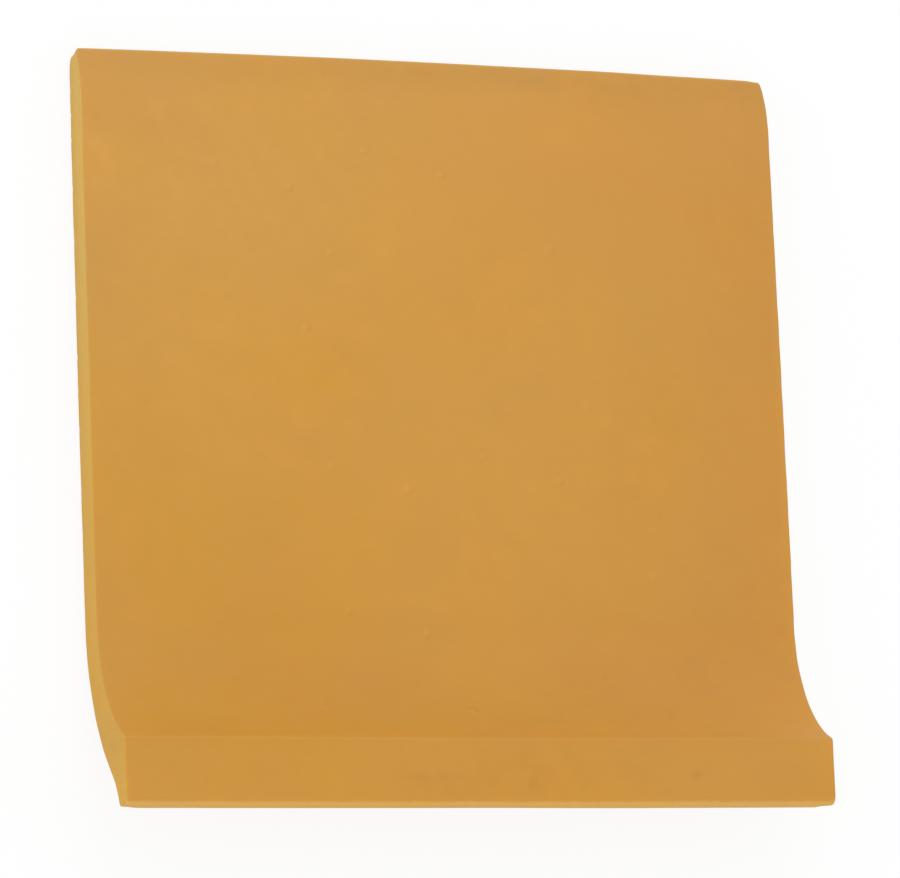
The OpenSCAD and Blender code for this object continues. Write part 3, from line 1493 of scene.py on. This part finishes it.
@dataclass(frozen=True)
class Studio:
    """A pale floor under a plain soft sky, with soft lamps.

    Args:
        sky_level: Light of the sky.
        floor_colour: Colour of the floor.
        floor_reach: How far it runs out from the tile's middle.
        floor_level: Its height; it stays clear of the tile's back.
        shadow_share: How much of the floor's own light and shade shows.
        lamps: The soft lamps.
    """

    sky_level: float = 0.82
    floor_colour: Colour = (0.9, 0.9, 0.9)
    floor_reach: float = 12.0
    floor_level: float = -0.02 * MM
    shadow_share: float = 0.12
    lamps: tuple[SoftBox, ...] = ()

    @staticmethod
    def seen(canvas: Canvas) -> Socket:
        """Tell rays that show the background from rays that light the tile.

        Args:
            canvas: The tree to add to.

        Returns:
            An output that is 1 for camera, glossy and transmission rays.
        """
        path = canvas.add("LightPath").outputs
        shown = canvas.maths("MAXIMUM", path["Is Camera Ray"], path["Is Glossy Ray"])
        return canvas.maths("MAXIMUM", shown, path["Is Transmission Ray"])

    def build_sky(self) -> None:
        """Light the room from all sides, white where it is seen."""
        world = bpy.data.worlds.new("soft_sky")
        canvas = Canvas.blank(world)
        strength = canvas.spread(self.seen(canvas), 0.0, 1.0, self.sky_level, 1.0, "LINEAR")
        sky = canvas.add("Background", {"Color": WHITE, "Strength": strength})
        canvas.add("OutputWorld", {"Surface": sky.outputs[0]})
        bpy.context.scene.world = world

    def build_floor(self) -> bpy.types.Object:
        """Lay the floor under the tile.

        Returns:
            The floor's object.
        """
        made = bpy.data.materials.new("pale_floor")
        canvas = Canvas.blank(made)
        seen = self.seen(canvas)
        paint = canvas.add("BsdfDiffuse", {"Color": canvas.blend(seen, self.floor_colour, WHITE)})
        white = canvas.add("Emission", {"Color": WHITE, "Strength": 1.0})
        share = canvas.maths("MULTIPLY", seen, 1 - self.shadow_share)
        mixed = canvas.add("MixShader", {0: share, 1: paint.outputs[0], 2: white.outputs[0]})
        canvas.add("OutputMaterial", {"Surface": mixed.outputs[0]})
        mesh = bpy.data.meshes.new("floor")
        corners = [(x * self.floor_reach, y * self.floor_reach, self.floor_level)
                   for x, y in ((-1, -1), (1, -1), (1, 1), (-1, 1))]
        mesh.from_pydata(corners, [], [(0, 1, 2, 3)])
        mesh.materials.append(made)
        floor = bpy.data.objects.new("floor", mesh)
        bpy.context.scene.collection.objects.link(floor)
        return floor

    def build(self) -> None:
        """Set up the floor, the sky and the lamps."""
        self.build_sky()
        self.build_floor()
        for lamp in self.lamps:
            lamp.build()
        bpy.context.scene.view_settings.view_transform = "Standard"
        LOG.info("studio: sky level %.2f, %d lamps", self.sky_level, len(self.lamps))


# ---------------------------------------------------------------- this tile

FINISHES = {
    Zone.FACE: ClayFinish(
        name="fired_face",
        pale=clay_colour(204, 149, 70),
        flushed=clay_colour(204, 145, 50),
        tone_depth=0.13,
        rubbed=clay_colour(224, 174, 88),
        lean=(1.2, -3.4, 0.0),
    ),
    Zone.CUT: ClayFinish(
        name="wire_cut_clay",
        pale=clay_colour(210, 170, 86),
        flushed=clay_colour(210, 158, 61),
        rubbed=clay_colour(218, 178, 98),
        lean=(0.0, -4.0, 0.0),
        cloud_size=14 * MM,
        grain_size=0.4 * MM,
        grain_depth=0.04 * MM,
        grain_tone=0.12,
        line_tone=0.1,
        speck_share=0.16,
        drag_along=(0.0, 0.0, 1.0),
        drag_spacing=0.7 * MM,
        drag_depth=0.06 * MM,
        roughness=0.75,
    ),
    Zone.FOOT: ClayFinish(
        name="stood_on_foot",
        pale=clay_colour(214, 168, 86),
        flushed=clay_colour(212, 162, 77),
        rubbed=clay_colour(220, 176, 98),
        cloud_size=10 * MM,
        tone_depth=0.16,
        grain_size=0.4 * MM,
        grain_depth=0.03 * MM,
        grain_tone=0.1,
        line_tone=0.06,
        speck_share=0.06,
        drag_spacing=0.7 * MM,
        drag_depth=0.02 * MM,
        roughness=0.75,
    ),
    Zone.BACK: ClayFinish(
        name="extruded_back",
        pale=clay_colour(206, 158, 78),
        flushed=clay_colour(198, 142, 62),
        rubbed=clay_colour(214, 168, 92),
        cloud_size=22 * MM,
        cloud_strength=1.2,
        tone_depth=0.16,
        grain_size=0.4 * MM,
        grain_depth=0.04 * MM,
        grain_tone=0.12,
        line_tone=0.1,
        speck_share=0.07,
        drag_spacing=1.3 * MM,
        drag_depth=0.1 * MM,
        roughness=0.72,
    ),
}

PIMPLES = (
    Pimple(-47.4, 54.0, 1.8, 0.16),
    Pimple(-15.4, 57.4, 1.8, 0.2),
    Pimple(-31.8, 49.4, 2.1, 0.3),
    Pimple(1.2, 53.1, 2.5, 0.28),
    Pimple(24.6, 38.3, 2.6, 0.34, PimpleKind.BLISTER),
    Pimple(-29.1, 20.5, 2.4, 0.28),
    Pimple(-23.6, 36.0, 1.8, 0.16),
    Pimple(30.8, 5.8, 2.6, 0.2, PimpleKind.BLISTER),
    Pimple(7.6, -5.1, 1.8, 0.16),
    Pimple(-25.0, -7.5, 1.8, 0.16),
    Pimple(-8.7, -12.1, 2.5, 0.28),
    Pimple(24.4, -9.7, 2.1, 0.26),
    Pimple(44.1, -29.3, 2.6, 0.18, PimpleKind.BLISTER),
    Pimple(-22.2, -36.9, 2.2, 0.18),
    Pimple(-5.9, -41.5, 2.0, 0.22),
    Pimple(30.8, -49.7, 2.2, 0.34),
    Pimple(-30.3, -57.0, 1.8, 0.2),
    Pimple(0.6, -57.7, 2.2, 0.4),
)

# A row of these tables holds the x, y, wide, high and much of a mark, as KilnMark tells them.
# Darker and paler patches. The rows along the lip and the crown are a painted highlight above the lip,
# where it lifts the shade at the cove's foot, and painted shade on the lip and under the crown. The
# broad rows paint the face paler at the top left and darker to the right and at the bottom, as painted
# light and shade. The other rows darken and lighten smaller patches, apart from painted shade on the
# left end by the toe and a painted highlight along the right end.
PAINTED_LIGHT_AND_TONE = KilnMark.table(Trace.SHADE, {
    # Painted highlight above the lip and painted shade on the lip and under the crown.
    0.05: ((0, -63.2, 120, 3.0, -0.037),),
    0.1: (
        (0, -65.5, 120, 1.7, 0.024),
        (50, -64.9, 34, 1.5, 0.016),
        (0, 73.7, 95, 2.6, 0.018),
        (-45, -63.95, 45, 0.55, -0.05),
        (42, -63.95, 22, 0.55, -0.055),
        (0, -64.65, 120, 0.4, 0.026),
    ),
    # Broad painted light and shade: paler at the top left, darker to the right and at the bottom.
    0.15: (
        (-25, 48, 45, 28, -0.04),
        (6, -12, 36, 34, -0.03),
        (74, 30, 18, 60, 0.028),
        (46, -36, 36, 34, 0.032),
        (-15, -51, 70, 7, 0.022),
    ),
    0.2: (
        (-46, 6, 26, 22, -0.034),
        (-36, -26, 30, 16, -0.018),
        (30, 61, 42, 7, -0.022),
        (-10, 67, 90, 4.5, -0.01),
        # Painted shade on the left end by the toe, and a painted highlight along the right end.
        (-75.2, -62.9, 0.6, 4.2, 0.08),
        (75.2, 5, 1.6, 60, -0.07),
        (68, 4, 7, 28, -0.018),
    ),
    0.3: (
        (20, 76, 70, 4, 0.036),
        (16, -57, 40, 5, 0.016),
        (-65, -67, 25, 5, 0.015),
        (72, -62, 9, 7, -0.012),
        (-62, -4, 12, 26, 0.026),
        (4, -15, 12, 7, 0.028),
        (41, -14, 8, 7, 0.03),
        (52, 1, 8, 8, 0.026),
        (-8, -47, 28, 14, -0.016),
        (26, -42, 12, 7, -0.024),
        (-45, -53, 14, 8, 0.02),
        (60, -56, 20, 16, -0.018),
        (52, -49, 7, 5, 0.02),
        (-4, -73, 12, 6, 0.028),
        (44, -73, 12, 6, -0.014),
        (66, -74, 8, 5, 0.016),
        (-42, 71, 16, 4, 0.022),
        (18, 71, 12, 3.5, -0.02),
        (4, 26, 13, 7, 0.022),
        (46, 9, 7, 9, 0.022),
        (-39, 0, 8, 6, 0.022),
        (-6, -23, 15, 4, 0.018),
        (-55, -23, 9, 6, 0.016),
        (-24, 34, 8, 5, 0.02),
        (-50, 66, 9, 3.5, -0.028),
        (-31, 18, 5, 4.5, -0.026),
        (-7, -34.5, 14, 3.5, -0.022),
        (-60, -39, 9, 3, -0.022),
        (-7, -70, 8, 3.5, -0.024),
        (8.5, -74, 3, 4, 0.04),
        (22, 60, 14, 7, -0.012),
        (43, 69.5, 13, 3, 0.022),
    ),
    0.4: (
        (30, -70, 42, 8, 0.024),
        (-52, 30, 6, 6, 0.03),
    ),
})

FLUSHES = KilnMark.table(Trace.FLUSH, {
    0.3: (
        (-65, 48, 40, 28, -0.22),
        (52, -36, 40, 36, -0.26),
        (60, -68, 34, 10, -0.14),
        (6, -16, 18, 10, -0.18),
        (26, -50, 9, 5, 0.2),
        (-13, -50, 9, 5, 0.15),
        (-66, -55, 8, 6, 0.2),
        (-45, -58, 13, 5, -0.14),
        (-58, 15, 13, 8, -0.13),
        (64, 60, 10, 8, -0.14),
        (-28, -15, 18, 7, 0.11),
        (-60, -42, 14, 6, -0.1),
    ),
    0.4: ((-44, -40, 34, 44, 0.32),),
    0.5: ((-30, 12, 16, 9, 0.26),),
})

IRON_TINTS = KilnMark.table(Trace.IRON, {
    0.1: ((-75.2, 0, 0.6, 45, -0.02),),
    0.3: (
        (70, 15, 14, 75, 0.035),
        (40, 60, 34, 16, 0.034),
        (-40, 48, 44, 30, -0.026),
        (-58, -12, 22, 48, -0.02),
        (-5, -12, 26, 22, -0.014),
        (44, -50, 28, 10, 0.04),
        (68, -34, 14, 22, 0.022),
        (12, -72, 40, 8, 0.026),
        (-30, -51, 30, 6, 0.024),
    ),
})

STAINS = KilnMark.table(Trace.SHADE, {
    0.0: ((-74.6, -73.1, 0.5, 0.5, -0.08),),
    0.5: (
        (-1.9, 74.6, 3.0, 1.4, 0.03),
        (0.9, 71.3, 2.5, 2.0, 0.02),
        (22.7, 73.5, 3.5, 1.6, 0.035),
        (37.7, 73.2, 2.5, 1.5, 0.02),
        (46.5, 72.5, 2.5, 1.5, 0.02),
        (13.5, 40.2, 8.0, 6.0, 0.018),
        (-21.1, 16.3, 7.0, 5.0, 0.014),
        (-58.5, -62.0, 8.0, 2.5, 0.025),
        (11.0, -60.0, 6.0, 2.5, 0.02),
        (-58.2, 64.9, 2.0, 1.8, -0.035),
        (63.1, 69.7, 2.2, 1.8, -0.03),
        (67.3, 65.3, 2.0, 2.0, -0.03),
        (-71.5, 54.0, 3.0, 8.0, -0.03),
        (-68.3, -39.3, 4.0, 7.0, -0.02),
        (74.3, -64.0, 4.5, 5.0, -0.03),
        (44.4, -71.5, 1.3, 0.7, 0.16),
        (37.9, -74.7, 1.0, 0.8, 0.05),
        (9.4, -72.8, 0.9, 1.2, 0.07),
        (-12.0, -72.2, 5.5, 0.9, 0.05),
        (43.1, -58.5, 1.2, 1.0, 0.04),
    ),
})

# Less of the pale rubbed colour along the toe's lip, most at the right: this shapes the painted
# highlight on the lip.
LIP_HIGHLIGHT_CUTS = KilnMark.table(Trace.RUB_AND_HIGHLIGHT, {
    0.0: ((76, -64.2, 15, 6, -1.0),),
    0.1: ((-20, -64.2, 120, 6, -0.5),),
    0.2: (
        (52, -64.2, 30, 6, -0.9),
        (-50, -64.2, 26, 6, -0.3),
    ),
})

MOTTLE = Mottle((-72, -30), (-14, 44), 70, 1.5, 5.0, 0.022, 83)

MARKS = (*PAINTED_LIGHT_AND_TONE, *FLUSHES, *IRON_TINTS, *STAINS, *LIP_HIGHLIGHT_CUTS, *MOTTLE.marks())

KNOCKS = (
    Knock((-0.8, 1, -0.67), 65 * MM, (0.0, -0.13 * MM, 0.0)),
    Knock((0.72, 1, -0.67), 16 * MM, (0.0, -0.09 * MM, 0.0)),
    Knock((-1, -1, 0.65), 4.0 * MM, (0.0, 0.26 * MM, 0.0)),
    Knock((1, -1, 0.65), 3.0 * MM, (-0.1 * MM, 0.8 * MM, 0.0)),
    Knock((1, -1, 1), 2.2 * MM, (-0.25 * MM, 0.2 * MM, -0.1 * MM)),
    Knock((-1, 1, -0.85), 4.9 * MM, (0.72 * MM, -0.1 * MM, 0.0)),
    Knock((1, 1, -0.67), 3.6 * MM, (-0.22 * MM, -0.22 * MM, 0.0)),
    Knock((1, -0.826, 1), 4.5 * MM, (0.0, 0.25 * MM, 0.0)),
)

LAMPS = (
    SoftBox("left_box", (-0.93, 0.0, 0.37), 0.14),
    SoftBox("foot_box", (0.0, -0.93, 0.37), 0.095),
    SoftBox("crown_box", (0.0, 0.7, 0.7), 0.16),
)


def main() -> None:
    """Build the scene."""
    logging.basicConfig(level=logging.INFO, format="%(name)s: %(message)s")
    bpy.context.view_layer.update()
    Viewpoint().build()
    Studio(lamps=LAMPS).build()
    low, high = (np.array(corner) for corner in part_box(NODE))
    SkirtingTile(low, high, pimples=PIMPLES, marks=MARKS, knocks=KNOCKS).build(FINISHES)


if __name__ == "__main__":
    main()
